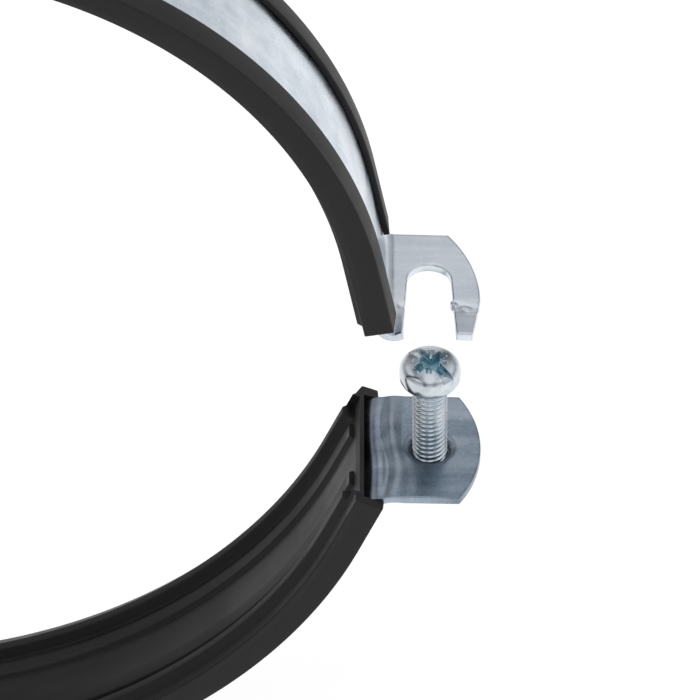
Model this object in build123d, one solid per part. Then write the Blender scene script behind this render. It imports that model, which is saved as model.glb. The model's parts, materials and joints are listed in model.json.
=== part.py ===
"""Rubber lined pipe clamp in two halves for a 168.3 mm steel pipe, held by two M6 screws.

Millimetres. The origin lies on the pipe's axis at the middle of the band's width, +Y runs along
the pipe and +Z points up, away from the connection nut. Each half is drawn as it sits when closed,
and the upper half is then tilted open about the pivot screw.
"""

from build123d import *
from math import atan2, cos, degrees, radians, sin, sqrt
import os

# Pipe and rubber lining, as radii from the pipe's axis and places across the width
pipe_radius = 84.15
rib_height = 1.25
sole_thickness = 1.6
valley_depth = 0.75
lining_width = 29.0
lip_rise = 1.8
lip_slope_rise = 0.5
lip_reach = 5.0
outer_rib_place = 10.3
outer_rib_top = 1.5
outer_rib_base = 2.7
inner_rib_place = 5.8
inner_rib_top = 2.8
inner_rib_base = 3.6
band_gap = 0.05

# Zinc plated steel band
band_width = 25.0
band_thickness = 1.6
upper_bend_radius = 2.8
lower_bend_radius = 5.5

# Where the two circles run out into straight leads, as angles below the horizontal
upper_lead_angle = -2.5
lower_lead_angle = 23.0

# Ears: how far the screws stand off the band, height and outward droop of the ear's middle plane
screw_standoff = 6.7
lower_ear_height = -25.35
lower_ear_droop = 1.5
upper_ear_height = -14.0
hook_shift = 1.1
hook_ear_droop = 9.6
pivot_ear_droop = 0.0

# Ends of the lining: how far the upper one stops above its ears, and how far the lower lips set back
upper_lining_lift = 4.0
lower_lip_setback = 4.6

# Plan of the round-ended ears
ear_corner = 5.0
ear_tip = 8.6

# Plan of the hook ear, out from the slot's middle and across the band
hook_back_corner = 3.2
hook_crown_place = -3.5
hook_tip_out = 7.3
slot_radius = 3.67
slot_depth_place = 1.3
mouth_widening = 0.8
nub_place = -4.2
nub_radius = 1.0
nub_reach = 0.45
crease_place = -5.8
prong_lift = 5.0

# M6 screws, plunged threads and pivot hole
thread_radius = 3.0
thread_clearance = 0.05
screw_length = 25.0
head_radius = 5.2
head_wall = 3.4
crown_radius = 4.8
crown_edge_height = 3.85
head_height = 4.6
tip_chamfer = 0.7
drive_turn = -50.0
drive_slot_width = 1.8
drive_slot_depth = 1.5
cross_span = 7.2
cross_width = 1.6
cross_depth = 2.6
closing_head_height = 15.5
pivot_head_play = 1.8
collar_wall = 1.5
collar_depth = 2.2
funnel_spread = 1.1
funnel_depth = 1.5
pivot_hole_radius = 3.4
pivot_hole_play = 1.1

# How the upper half stands open: drawn outwards in its oblong hole, then tilted
pivot_draw = 0.5
open_tilt = 7.8

# Welded M10 connection nut
nut_across_flats = 17.0
nut_height = 12.0
nut_bore_radius = 4.25
nut_mouth_chamfer = 0.8
nut_edge_chamfer = 0.8
weld_gap = 0.02

# Sizes that follow from the ones above
shoulder_radius = pipe_radius + rib_height
band_inner = shoulder_radius + sole_thickness
band_outer = band_inner + band_thickness
band_middle = (band_inner + band_outer) / 2
valley_radius = shoulder_radius + valley_depth
lip_corner_radius = band_outer + lip_rise
shank_radius = thread_radius - thread_clearance
screw_place = band_outer + screw_standoff
hook_place = screw_place + hook_shift
lower_ear_top = lower_ear_height + band_thickness / 2
upper_lining_end = upper_ear_height + upper_lining_lift
collar_radius = thread_radius + collar_wall
funnel_radius = thread_radius + funnel_spread


def mirrored(points):
    """Close an outline of (radius, place) points with its mirror image across the width."""
    return points + [(radius, -place) for radius, place in reversed(points)]


def bend_radius(above):
    """Middle radius of a half's bends, for the upper half (1) or the lower one (-1)."""
    return upper_bend_radius if above > 0 else lower_bend_radius


def lead_normal(above):
    """Outward normal of a half's right-hand lead."""
    angle = radians(upper_lead_angle if above > 0 else lower_lead_angle)
    return Vector(cos(angle), 0, -sin(angle))


def lead_course(above):
    """Direction in which a half's right-hand lead runs on from the circle."""
    normal = lead_normal(above)
    return Vector(normal.Z, 0, -normal.X) * above


def circle_turns(above):
    """Where a half's circle starts on the right and how far it turns about the pipe's axis."""
    angle = upper_lead_angle if above > 0 else lower_lead_angle
    return -angle, above * 180 + 2 * angle


def moulded(points, above, lead_length):
    """Run an outline of (radius, place) points round a half's circle and along its two leads."""
    start, turn = circle_turns(above)
    outline = make_face(Polyline(*points, close=True)).rotate(Axis.Y, -start)
    lead = extrude(outline, lead_length, dir=lead_course(above))
    return revolve(outline, Axis((0, 0, 0), (0, -above, 0)), abs(turn)) + lead + mirror(lead, Plane.YZ)


def sole_outline():
    """Sole with two ribs each side of a valley, and side walls that cover the band's edges."""
    edge = lining_width / 2
    wall = band_width / 2 + band_gap
    seat = band_inner - band_gap
    return mirrored(
        [
            (seat, wall),
            (lip_corner_radius, wall),
            (lip_corner_radius, edge),
            (shoulder_radius, edge),
            (shoulder_radius, outer_rib_place + outer_rib_base / 2),
            (pipe_radius, outer_rib_place + outer_rib_top / 2),
            (pipe_radius, outer_rib_place - outer_rib_top / 2),
            (valley_radius, outer_rib_place - outer_rib_base / 2),
            (valley_radius, inner_rib_place + inner_rib_base / 2),
            (shoulder_radius, inner_rib_place + inner_rib_top / 2),
            (shoulder_radius, inner_rib_place - inner_rib_top / 2),
            (valley_radius, inner_rib_place - inner_rib_base / 2),
        ]
    )


def lip_outline():
    """One lip, which folds over the band's outer face and rises towards its free edge."""
    wall = band_width / 2 + band_gap
    free_edge = lining_width / 2 - lip_reach
    seat = band_outer + band_gap
    return [
        (seat, wall),
        (lip_corner_radius, wall),
        (lip_corner_radius + lip_slope_rise, free_edge),
        (seat, free_edge),
    ]


def lining(above, end_height, lip_setback):
    """Rubber lining of a half, from end height to end height, its two lips set back from the ends."""
    normal, course = lead_normal(above), lead_course(above)
    length = (end_height - band_middle * normal.Z) / course.Z
    lip = lip_outline()
    lips = [
        moulded(outline, above, length - lip_setback)
        for outline in (lip, [(radius, -place) for radius, place in lip])
    ]
    return moulded(sole_outline(), above, length) + lips


def ear_plane(place, height, droop):
    """Middle plane of a right-hand ear: x runs outwards, y along the pipe."""
    tilt = radians(droop)
    return Plane((place, 0, height), x_dir=(cos(tilt), 0, -sin(tilt)), z_dir=(sin(tilt), 0, cos(tilt)))


def bend_centre(plane, above):
    """Centre of the bend that joins lead and ear. The band lies above the ear (1) or below it (-1)."""
    normal = lead_normal(above)
    height = plane.origin.dot(plane.z_dir) + above * bend_radius(above)
    reach = (band_middle + bend_radius(above) - height * normal.dot(plane.z_dir)) / normal.dot(plane.x_dir)
    return plane.z_dir * height + plane.x_dir * reach


def band_arc(centre, inner, outer, start_angle, sweep):
    """A stretch of band of full width, seen as a ring sector in the plane across the pipe."""
    start = CenterArc(centre, outer, start_angle, sweep)
    back = CenterArc(centre, inner, start_angle + sweep, -sweep)
    sector = make_face([start, Line(start @ 1, back @ 0), back, Line(back @ 1, start @ 0)])
    return extrude(Plane.XZ * sector, band_width / 2, both=True)


def lead_and_bend(plane, above):
    """Straight lead from the circle and the bend that turns it out into the ear."""
    centre, normal = bend_centre(plane, above), lead_normal(above)
    length = centre.dot(lead_course(above))
    start, _ = circle_turns(above)
    flat = Pos(band_middle, -above * length / 2) * Rectangle(band_thickness, length)
    lead = extrude(Plane.XZ * Rot(0, 0, start) * flat, band_width / 2, both=True)
    towards_lead = degrees(atan2(-normal.Z, -normal.X))
    towards_ear = degrees(atan2(-above * plane.z_dir.Z, -above * plane.z_dir.X))
    turn = (towards_ear - towards_lead + 180) % 360 - 180
    inner = bend_radius(above) - band_thickness / 2
    bend = band_arc((centre.X, centre.Z), inner, inner + band_thickness, towards_lead, turn)
    return lead + bend


def ear_root(plane, above):
    """Where the flat ear leaves the bend, measured outwards from the screw's axis."""
    return (bend_centre(plane, above) - plane.origin).dot(plane.x_dir)


def plate(plane, outline):
    """An outline in an ear's plane as sheet of the band's thickness."""
    return extrude(plane * outline, band_thickness / 2, both=True)


def round_ear(plane, above):
    """Ear with straight sides and a convex free end."""
    root, side = ear_root(plane, above), band_width / 2
    outline = [
        Line((root, -side), (ear_corner, -side)),
        ThreePointArc((ear_corner, -side), (ear_tip, 0), (ear_corner, side)),
        Line((ear_corner, side), (root, side)),
        Line((root, side), (root, -side)),
    ]
    return plate(plane, make_face(outline))


def hook_slot():
    """Slot of the hook ear, open to the side, with a nub that keeps the screw in."""
    mouth = -band_width / 2
    flare = slot_radius + mouth_widening
    right, left = (slot_radius, slot_depth_place), (-slot_radius, slot_depth_place)
    arc = ThreePointArc(right, (0, slot_depth_place + slot_radius), left)
    walls = Polyline(left, (-flare, mouth), (flare, mouth), right)
    wall_at_nub = slot_radius + mouth_widening * (slot_depth_place - nub_place) / (slot_depth_place - mouth)
    nub = Pos(wall_at_nub + nub_radius - nub_reach, nub_place) * Circle(nub_radius)
    return make_face([arc, walls]) - nub


def hook_outline(root):
    """Plan of the hook ear before its slot: square at the back, crowned, then cut straight in front."""
    side = band_width / 2
    rise = ear_tip - hook_back_corner
    run = side - hook_crown_place
    crown_radius = (rise**2 + run**2) / (2 * rise)
    half_turn = atan2(run, crown_radius - rise) / 2
    crown_middle = (
        ear_tip - crown_radius * (1 - cos(half_turn)),
        hook_crown_place + crown_radius * sin(half_turn),
    )
    return make_face(
        [
            ThreePointArc((ear_tip, hook_crown_place), crown_middle, (hook_back_corner, side)),
            Polyline((hook_back_corner, side), (root, side), (root, -side), (hook_tip_out, -side)),
            Line((hook_tip_out, -side), (ear_tip, hook_crown_place)),
        ]
    )


def hook_ear(plane, above):
    """Slotted ear whose two prongs are set up a little beyond a pressed crease."""
    outline = hook_outline(ear_root(plane, above)) - hook_slot()
    reach = 2 * screw_place
    front = Pos(0, crease_place - reach / 2) * Rectangle(reach, reach)
    crease = plane * Pos(0, crease_place, -band_thickness / 2)
    prongs = plate(plane, outline & front).rotate(Axis(crease.position, plane.x_dir), -prong_lift)
    return plate(plane, outline - front) + prongs


def threaded_ear(plane, above):
    """Round ear with a plunged M6 thread that stands upright in it."""
    top = plane.origin.Z + band_thickness / 2
    bottom = plane.origin.Z - band_thickness / 2 - collar_depth
    place = plane.origin.X
    collar_height = plane.origin.Z - bottom
    collar = Pos(place, 0, bottom + collar_height / 2) * Cylinder(collar_radius, collar_height)
    hole = Pos(place, 0, plane.origin.Z) * Cylinder(thread_radius, 4 * collar_depth)
    funnel = Pos(place, 0, top - funnel_depth / 2) * Cone(thread_radius, funnel_radius, funnel_depth)
    mouth = Pos(place, 0, top + funnel_depth / 2) * Cylinder(funnel_radius, funnel_depth)
    return round_ear(plane, above) + collar - hole - funnel - mouth


def pivot_ear(plane, above):
    """Round ear with an oblong clearance hole, lengthened outwards so that the half can be drawn aside."""
    width = 2 * pivot_hole_radius
    hole = Pos(pivot_hole_play / 2, 0) * SlotOverall(width + pivot_hole_play, width)
    return round_ear(plane, above) - plate(plane, hole)


def circle(above):
    """The round part of a half's band."""
    return band_arc((0, 0), band_inner, band_outer, *circle_turns(above))


def lower_band():
    """Fixed half: circle, leads, bends and two threaded ears."""
    plane = ear_plane(screw_place, lower_ear_height, lower_ear_droop)
    end = lead_and_bend(plane, -1) + threaded_ear(plane, -1)
    return circle(-1) + end + mirror(end, Plane.YZ)


def closed_upper_band():
    """Moving half as it sits when closed: hook ear on the right, pivot ear on the left."""
    hook_plane = ear_plane(hook_place, upper_ear_height, hook_ear_droop)
    pivot_plane = ear_plane(screw_place, upper_ear_height, pivot_ear_droop)
    right = lead_and_bend(hook_plane, 1) + hook_ear(hook_plane, 1)
    left = mirror(lead_and_bend(pivot_plane, 1) + pivot_ear(pivot_plane, 1), Plane.YZ)
    return circle(1) + right + left


def opened(half):
    """Draw the upper half out along its oblong hole, then tilt it open about the pivot screw."""
    drawn = Pos(pivot_draw, 0, 0) * half
    return drawn.rotate(Axis((-screw_place, 0, upper_ear_height), (0, -1, 0)), open_tilt)


def screw(place, head_seat):
    """M6 screw with a low domed head and a combined slot and cross recess."""
    half_section = Polyline(
        (0, 0, -screw_length),
        (shank_radius - tip_chamfer, 0, -screw_length),
        (shank_radius, 0, tip_chamfer - screw_length),
        (shank_radius, 0, 0),
        (head_radius, 0, 0),
        (head_radius, 0, head_wall),
        (crown_radius, 0, crown_edge_height),
        (0, 0, head_height),
        close=True,
    )
    blank = revolve(make_face(half_section), Axis.Z)
    slot = Box(3 * head_radius, drive_slot_width, 2 * drive_slot_depth)
    cross = Box(cross_span, cross_width, 2 * cross_depth) + Box(cross_width, cross_span, 2 * cross_depth)
    drive = Pos(0, 0, head_height) * Rot(0, 0, drive_turn) * (slot + cross)
    return Pos(place, 0, head_seat) * (blank - drive)


def connection_nut():
    """Hexagonal M10 nut whose end is shaped to the band, flats facing along the pipe."""
    foot = -band_outer - nut_height
    hexagon = RegularPolygon(nut_across_flats / 2, 6, major_radius=False)
    blank = extrude(Plane.XY * hexagon, nut_height * 1.2)
    blank = chamfer(blank.faces().sort_by(Axis.Z)[0].edges(), nut_edge_chamfer)
    bore = Pos(0, 0, nut_height / 2) * Cylinder(nut_bore_radius, 2 * nut_height)
    mouth = Pos(0, 0, nut_mouth_chamfer / 2) * Cone(
        nut_bore_radius + nut_mouth_chamfer, nut_bore_radius, nut_mouth_chamfer
    )
    seat = Rot(90, 0, 0) * Cylinder(band_outer + weld_gap, 2 * lining_width)
    return Pos(0, 0, foot) * (blank - bore - mouth) - seat


def build():
    """All pieces by name, where they sit with the clamp open."""
    pivot_seat = upper_ear_height + band_thickness / 2 + pivot_head_play
    return {
        "lower_band": lower_band(),
        "lower_lining": lining(-1, lower_ear_top, lower_lip_setback),
        "upper_band": opened(closed_upper_band()),
        "upper_lining": opened(lining(1, upper_lining_end, 0)),
        "closing_screw": screw(screw_place, lower_ear_top + closing_head_height),
        "pivot_screw": screw(-screw_place, pivot_seat),
        "connection_nut": connection_nut(),
    }


os.makedirs("parts", exist_ok=True)
for name, piece in build().items():
    export_step(piece, f"parts/{name}.step")
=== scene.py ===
import json
from collections import namedtuple
from math import atan2, ceil, cos, hypot, pi, radians, sin, sqrt, tan

import bmesh
import bpy
from bpy.props import FloatProperty, FloatVectorProperty, IntProperty, PointerProperty
from bpy.types import Operator, Panel, PropertyGroup
from mathutils import Matrix, Vector, noise


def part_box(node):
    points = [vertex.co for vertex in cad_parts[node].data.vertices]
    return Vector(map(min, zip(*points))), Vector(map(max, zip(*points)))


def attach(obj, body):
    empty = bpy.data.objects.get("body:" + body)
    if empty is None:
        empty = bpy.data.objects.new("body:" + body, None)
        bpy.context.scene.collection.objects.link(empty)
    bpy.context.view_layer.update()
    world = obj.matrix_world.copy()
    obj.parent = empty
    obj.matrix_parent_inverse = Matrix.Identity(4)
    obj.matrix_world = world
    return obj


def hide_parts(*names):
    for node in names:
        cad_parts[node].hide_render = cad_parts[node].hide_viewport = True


bl_info = {
    "name": "Rubber lined pipe clamp",
    "version": (1, 0, 0),
    "blender": (4, 5, 0),
    "location": "3D View > Sidebar > Pipe clamp",
    "description": "Builds the steel halves, rubber linings, screws and nut of an open pipe clamp",
    "category": "Object",
}

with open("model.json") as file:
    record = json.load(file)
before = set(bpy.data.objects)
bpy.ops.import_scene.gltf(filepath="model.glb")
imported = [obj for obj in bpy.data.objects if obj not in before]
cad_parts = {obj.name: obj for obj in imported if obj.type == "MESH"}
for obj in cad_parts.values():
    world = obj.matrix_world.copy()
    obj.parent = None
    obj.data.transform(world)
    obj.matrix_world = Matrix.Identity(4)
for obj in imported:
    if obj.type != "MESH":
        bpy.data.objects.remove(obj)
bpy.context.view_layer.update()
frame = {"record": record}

MM = 0.001

# Places taken from the frame
JOINTS = {joint["name"]: joint for joint in frame["record"]["behaviour"]["joints"]}
MOUNTS = {mount["name"]: mount for mount in frame["record"]["mounts"]}
PIVOT = Vector(JOINTS["upper_tilt"]["pos_m"])
SCREW_PLACE = JOINTS["closing_turn"]["pos_m"][0]
PIPE_RADIUS = MOUNTS["pipe_bore"]["dims"]["r_mm"] * MM
BORE_RADIUS = MOUNTS["rod_thread"]["dims"]["r_mm"] * MM
BAND_LOW, BAND_HIGH = (Vector(corner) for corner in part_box("lower_band"))
LINING_LOW, LINING_HIGH = (Vector(corner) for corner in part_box("lower_lining"))
NUT_LOW, NUT_HIGH = (Vector(corner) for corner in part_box("connection_nut"))
CLOSING_LOW, CLOSING_HIGH = (Vector(corner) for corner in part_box("closing_screw"))
PIVOT_LOW, PIVOT_HIGH = (Vector(corner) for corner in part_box("pivot_screw"))

# Which side of its ears a half's band lies on
ABOVE, BELOW = 1, -1

# Height of the lining's ribs over its shoulder, in millimetres
RIB_HEIGHT = 1.25

# Finer places across the band, where the prongs are creased: first, step and count
CREASE_ROWS = (-8.6 * MM, 0.4 * MM, 16)

# Soft folds: where they start and end ahead of the ear's root, how they swing, lean and fade at the edges
FOLD_START, FOLD_END = -8.0 * MM, 5.0 * MM
FOLD_SWING, FOLD_LEAN, FOLD_EDGE_FADE = 1.25, 0.03, 0.6

# Pressed crease: depth, scale of its ripple, and line and half width on the outer and the inner prong
CREASE_DEPTH, CREASE_RIPPLE = 0.34 * MM, 650
OUTER_CREASE, INNER_CREASE = (-5.0 * MM, 1.5 * MM), (-5.3 * MM, 0.7 * MM)

# Slope of the outer prong's crease, and where it crosses its line
CREASE_SLOPE, CREASE_START = 0.3, 4 * MM

# Share of the band's half width taken by its edge cells, and room kept beside the finer places
EDGE_SHARE, CREASE_ROOM = 0.036, 0.3 * MM

# How far the rubber's streaks are drawn out, and the depths under its shoulder that face the pipe
STREAK_STRETCH, BORE_FACE = 0.012, (0.25 * MM, 1.2 * MM)

# Rounding of the screws' edges, and gap between nut and band
SCREW_EDGE, WELD_GAP = 0.09 * MM, 0.02 * MM

# Pitch and depth of the nut's thread, and the width of its mouth
NUT_PITCH, NUT_THREAD, NUT_MOUTH = 1.5 * MM, 0.42 * MM, 0.8 * MM

# Small flutes between the recess's wings: size, and place from the crown's middle
FLUTE_SIZE, FLUTE_PLACE = (2.4 * MM, 1.1 * MM, 1.5 * MM), (2.0 * MM, 0, -0.4 * MM)

# How much each cutter of the drive narrows towards its lower end
SLOT_TAPER, WING_TAPER, FLUTE_TAPER = 0.96, 0.72, 0.45

# Brightness of the reflected sky from below (0) to above (1), and of the dark flags beside the stage
SKY_TONES = ((0.62, 0.75), (0.74, 0.35), (0.84, 0.86), (0.93, 1.0))
FLAG_TONES = ((0.28, 1.0), (0.35, 0.12), (0.43, 1.0), (0.56, 1.0), (0.63, 0.16), (0.71, 1.0))

# Lamps: name, place, size and the stage's value for their power
LAMPS = (
    ("key_lamp", (-0.5, -0.7, 1.0), 0.7, "key_power"),
    ("fill_lamp", (1.0, 0.1, 0.8), 0.5, "fill_power"),
    ("back_lamp", (0.3, 0.9, 1.1), 0.6, "back_power"),
)

Ear = namedtuple("Ear", "place height droop")


def length(name, description, millimetres):
    """A size in metres whose default is given in millimetres."""
    size = millimetres * MM
    return FloatProperty(name=name, description=description, default=size, unit="LENGTH", precision=5)


def angle(name, description, turn):
    """An angle in radians whose default is given in degrees."""
    return FloatProperty(name=name, description=description, default=radians(turn), unit="ROTATION")


def colour(name, description, value):
    """A linear colour."""
    return FloatVectorProperty(
        name=name, description=description, default=value, subtype="COLOR", min=0, max=1)


class BandSizes(PropertyGroup):
    """Sheet steel of the two halves"""

    thickness: length("Thickness", "Thickness of the sheet", 1.6)
    middle_radius: length("Middle radius", "Radius of the sheet's middle surface", PIPE_RADIUS / MM + 3.65)
    upper_bend: length("Upper bend", "Middle radius of the upper half's bends", 2.8)
    lower_bend: length("Lower bend", "Middle radius of the lower half's bends", 5.5)
    edge_round: length("Edge rounding", "Rounding of the sheared edges", 0.28)
    upper_lead: angle("Upper lead", "Angle below the horizontal where the upper circle turns straight", -2.5)
    lower_lead: angle("Lower lead", "Angle below the horizontal where the lower circle turns straight", 23)
    lower_ear_height: length("Lower ear height", "Height of the lower ears' middle plane", -25.35)
    lower_ear_droop: angle("Lower ear droop", "Outward slope of the lower ears", 1.5)
    hook_shift: length("Hook shift", "How far the slot stands outside the screw's axis when shut", 1.1)
    hook_droop: angle("Hook droop", "Outward slope of the hook ear", 9.6)
    pivot_draw: length("Pivot draw", "How far the upper half is drawn outwards on its pivot", 0.5)
    open_tilt: angle("Open tilt", "How far the upper half is tilted open", 7.8)
    fold_depth: length("Fold depth", "Depth of the soft folds pressed across the lower bends", 0.28)
    fold_spacing: length("Fold spacing", "Distance from fold to fold", 4.6)
    fold_sway: length("Fold sway", "How far the folds swing to and fro across the band", 0.6)


class EarSizes(PropertyGroup):
    """Plan of the ears, out from the screw's axis and across the band"""

    corner: length("Ear corner", "Where the straight sides of the round ears end", 5.0)
    tip: length("Ear tip", "Reach of every ear beyond the screw's axis", 8.6)
    hook_back_corner: length("Hook back corner", "Corner of the hook ear behind its slot", 3.2)
    crown_place: length("Crown place", "Where the hook ear reaches out furthest", -3.5)
    hook_tip_out: length("Hook tip", "Reach of the outer prong at its end", 7.3)
    slot_radius: length("Slot radius", "Half the width of the slot at its end", 3.67)
    slot_depth_place: length("Slot depth", "Middle of the slot's round end", 1.3)
    mouth_widening: length("Mouth widening", "How much each wall leans out at the mouth", 0.8)
    nub_place: length("Nub place", "Middle of the nub in the slot", -4.2)
    nub_radius: length("Nub radius", "Radius of the nub", 1.0)
    nub_reach: length("Nub reach", "How far the nub stands into the slot", 0.45)
    crease_place: length("Crease place", "Line from which the prongs are set up", -5.8)
    prong_lift: angle("Prong lift", "How steeply the prongs are set up", 5)
    thread_radius: length("Thread radius", "Radius of the plunged threads", 3.0)
    collar_depth: length("Collar depth", "Depth of the plunged collar below the ear's middle", 3.0)
    funnel_round: length("Funnel rounding", "Middle radius of the rolled-in mouth", 0.95)
    pivot_hole_radius: length("Pivot hole radius", "Half the width of the pivot ear's hole", 3.4)
    pivot_hole_play: length("Pivot hole play", "How much longer than wide that hole is", 1.1)


class LiningSizes(PropertyGroup):
    """Section and ends of the rubber lining"""

    rib_height: length("Rib height", "Height of the ribs over the shoulder", RIB_HEIGHT)
    valley_depth: length("Valley depth", "Depth of the valleys under the shoulder", 0.75)
    sole: length("Sole", "Sole thickness under the shoulder", 1.6)
    lip_rise: length("Lip rise", "Thickness of the lips over the band", 1.8)
    lip_slope: length("Lip slope", "Extra rise at the lips' free edge", 0.5)
    lip_reach: length("Lip reach", "Width of each lip", 5.0)
    outer_rib_place: length("Outer rib place", "Middle of the outer ribs", 10.3)
    outer_rib_top: length("Outer rib top", "Width of the outer ribs' crest", 1.5)
    outer_rib_base: length("Outer rib base", "Width of the outer ribs' foot", 2.7)
    inner_rib_place: length("Inner rib place", "Middle of the inner ribs", 5.8)
    inner_rib_top: length("Inner rib top", "Width of the inner ribs' crest", 2.8)
    inner_rib_base: length("Inner rib base", "Width of the inner ribs' foot", 3.6)
    edge_drop: length("Edge drop", "How far the far shoulder falls away at the lining's edge", 1.2)
    edge_slope: length("Edge slope", "Width over which it falls away", 2.3)
    far_lip_rise: length("Far lip rise", "Thickness of the flatter lip behind", 0.9)
    far_lip_reach: length("Far lip reach", "Width of the lip behind", 4.6)
    gap: length("Band gap", "Clearance between lining and band", 0.05)
    corner_round: length("Corner rounding", "Rounding of the rubber's edges", 0.35)
    upper_lift: length("Upper lift", "How far the upper lining stops above its ears", 4.0)
    lip_setback: length("Lip setback", "How far the lower lips stop short of the ends", 4.6)
    rib_setback: length("Rib setback", "How far the lower ribs stop short of the ends", 2.8)
    steps: IntProperty(name="Steps", description="Steps along the lining", default=180, min=24)


class ScrewSizes(PropertyGroup):
    """M6 screws with a low domed head"""

    pitch: length("Pitch", "Pitch of the thread", 1.0)
    crest_radius: length("Crest radius", "Radius over the crests", 2.95)
    thread_depth: length("Thread depth", "Depth of the thread", 0.58)
    plain_shank: length("Plain shank", "Shank without thread under the head", 1.1)
    head_radius: length("Head radius", "Radius of the head", 5.2)
    shank: length("Shank", "Length under the head", 25.0)
    head_wall: length("Head wall", "Height of the head's upright side", 3.4)
    head_height: length("Head height", "Height of the head at its middle", 4.6)
    drive_turn: angle("Drive turn", "Direction of the slot seen from above", -50)
    slot_width: length("Slot width", "Width of the slot", 1.9)
    slot_depth: length("Slot depth", "Depth of the slot under the crown", 1.5)
    cross_span: length("Cross span", "Span of the cross recess", 7.2)
    cross_width: length("Cross width", "Width of the cross recess", 2.0)
    cross_depth: length("Cross depth", "Depth of the cross recess", 2.6)
    turn_points: IntProperty(name="Turn points", description="Thread points in each turn", default=40, min=12)


class FinishColours(PropertyGroup):
    """Colours and roughness of the finishes, with painted light in the upper half's plating tones and painted
    shade in the lower half's
    """

    # The upper half's tones are a lighter copy of the same plating as the lower half: painted light, standing
    # in for the brighter reflection on the upper half.
    upper_zinc_light_painted_lit: colour(
        "Upper zinc, light", "Light tone of the upper half's plating", (0.90, 0.935, 0.965))
    upper_zinc_dark_painted_lit: colour("Upper zinc, dark", "Dark tone of the upper half's plating", (0.56, 0.62, 0.69))
    # The lower half's tones are a darker, bluer copy of the same plating: painted shade, standing in for the
    # darker reflection on the lower half.
    lower_zinc_light_painted_shade: colour(
        "Lower zinc, light", "Light tone of the lower half's plating", (0.53, 0.61, 0.69))
    lower_zinc_dark_painted_shade: colour("Lower zinc, dark", "Dark tone of the lower half's plating", (0.19, 0.24, 0.30))
    screw_light: colour("Screw, light", "Light tone of the screws' plating", (0.80, 0.83, 0.86))
    screw_dark: colour("Screw, dark", "Dark tone of the screws' plating", (0.50, 0.57, 0.62))
    recess_tint: colour("Recess tint", "Colour of the plating in the drive recess", (0.42, 0.60, 0.65))
    nut_light: colour("Nut, light", "Light tone of the nut's plating", (0.62, 0.66, 0.70))
    nut_dark: colour("Nut, dark", "Dark tone of the nut's plating", (0.42, 0.47, 0.52))
    rubber_light: colour("Rubber, light", "Light tone of the rubber", (0.0175, 0.0168, 0.0175))
    rubber_dark: colour("Rubber, dark", "Dark tone of the rubber", (0.0075, 0.0072, 0.0078))


class StageSizes(PropertyGroup):
    """Camera, floor and light"""

    elevation: angle("Elevation", "Height of the camera over the horizon", 43.2)
    distance: length("Distance", "Distance from the camera to its aim", 4500)
    view_width: length("View width", "Width of the view at the aim", 118.0)
    aim_x: length("Aim, out", "The aim's place along X", 81.8)
    aim_z: length("Aim, up", "The aim's place along Z", -2.13)
    world_level: FloatProperty(
        name="World level", description="Strength of the even light", default=0.55, min=0)
    key_power: FloatProperty(
        name="Key power", description="Power of the key light", default=5.0, min=0, unit="POWER")
    fill_power: FloatProperty(
        name="Fill power", description="Power of the fill", default=9.0, min=0, unit="POWER")
    back_power: FloatProperty(
        name="Back power", description="Power of the back light", default=7.0, min=0, unit="POWER")


GROUPS = {
    "clamp_band": BandSizes,
    "clamp_ear": EarSizes,
    "clamp_lining": LiningSizes,
    "clamp_screw": ScrewSizes,
    "clamp_finish": FinishColours,
    "clamp_stage": StageSizes,
}


# ---------------------------------------------------------------- mesh helpers


def object_from(name, bm):
    """A linked object whose mesh holds the given bmesh."""
    mesh = bpy.data.meshes.new(name)
    bm.to_mesh(mesh)
    bm.free()
    piece = bpy.data.objects.new(name, mesh)
    bpy.context.scene.collection.objects.link(piece)
    return piece


def add_rows(bm, rows, closed=False):
    """Faces between rows of points that have the same count."""
    grid = [[bm.verts.new(point) for point in row] for row in rows]
    for near, far in zip(grid, grid[1:]):
        count = len(near)
        for i in range(count if closed else count - 1):
            j = (i + 1) % count
            bm.faces.new((near[i], near[j], far[j], far[i]))
    return grid


def add_turned(bm, section, count, centre=(0, 0, 0)):
    """A closed body turned about a vertical axis from (radius, height) points that start and end on it."""
    at = Vector(centre)
    turns = [2 * pi * i / count for i in range(count)]
    rings = [
        [at + Vector((radius * cos(turn), radius * sin(turn), height)) for turn in turns]
        for radius, height in section[1:-1]
    ]
    grid = add_rows(bm, rings, closed=True)
    for row, (_, height) in ((grid[0], section[0]), (grid[-1], section[-1])):
        pole = bm.verts.new(at + Vector((0, 0, height)))
        for i in range(count):
            bm.faces.new((row[i], row[(i + 1) % count], pole))


def add_block(bm, size, matrix, taper=1.0):
    """A block whose lower end is narrowed by taper."""
    made = bmesh.ops.create_cube(bm, size=1.0)["verts"]
    for vert in made:
        narrow = taper if vert.co.z < 0 else 1.0
        vert.co = Vector((vert.co.x * size[0] * narrow, vert.co.y * size[1] * narrow, vert.co.z * size[2]))
    bmesh.ops.transform(bm, matrix=matrix, verts=made)


def merged(bm, distance=0.002 * MM):
    """Join touching points and turn all faces one way."""
    bmesh.ops.remove_doubles(bm, verts=bm.verts, dist=distance)
    bmesh.ops.recalc_face_normals(bm, faces=bm.faces)
    return bm


def rounded(points, radius, steps=3):
    """A closed outline with its corners rounded, as far as its short sides allow."""
    result = []
    for before, corner, after in zip(points[-1:] + points[:-1], points, points[1:] + points[:1]):
        corner, first, last = Vector(corner), Vector(before), Vector(after)
        towards, onwards = (first - corner), (last - corner)
        half_angle = towards.angle(onwards) / 2
        reach = min(radius / tan(half_angle), towards.length * 0.45, onwards.length * 0.45)
        start, end = corner + towards.normalized() * reach, corner + onwards.normalized() * reach
        for i in range(steps + 1):
            t = i / steps
            result.append(start.lerp(corner, t).lerp(corner.lerp(end, t), t))
    return result


def evaluated_mesh(piece):
    """A new mesh that holds the result of a piece's modifiers."""
    graph = bpy.context.evaluated_depsgraph_get()
    result = piece.evaluated_get(graph)
    return bpy.data.meshes.new_from_object(result, preserve_all_data_layers=True, depsgraph=graph)


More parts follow.
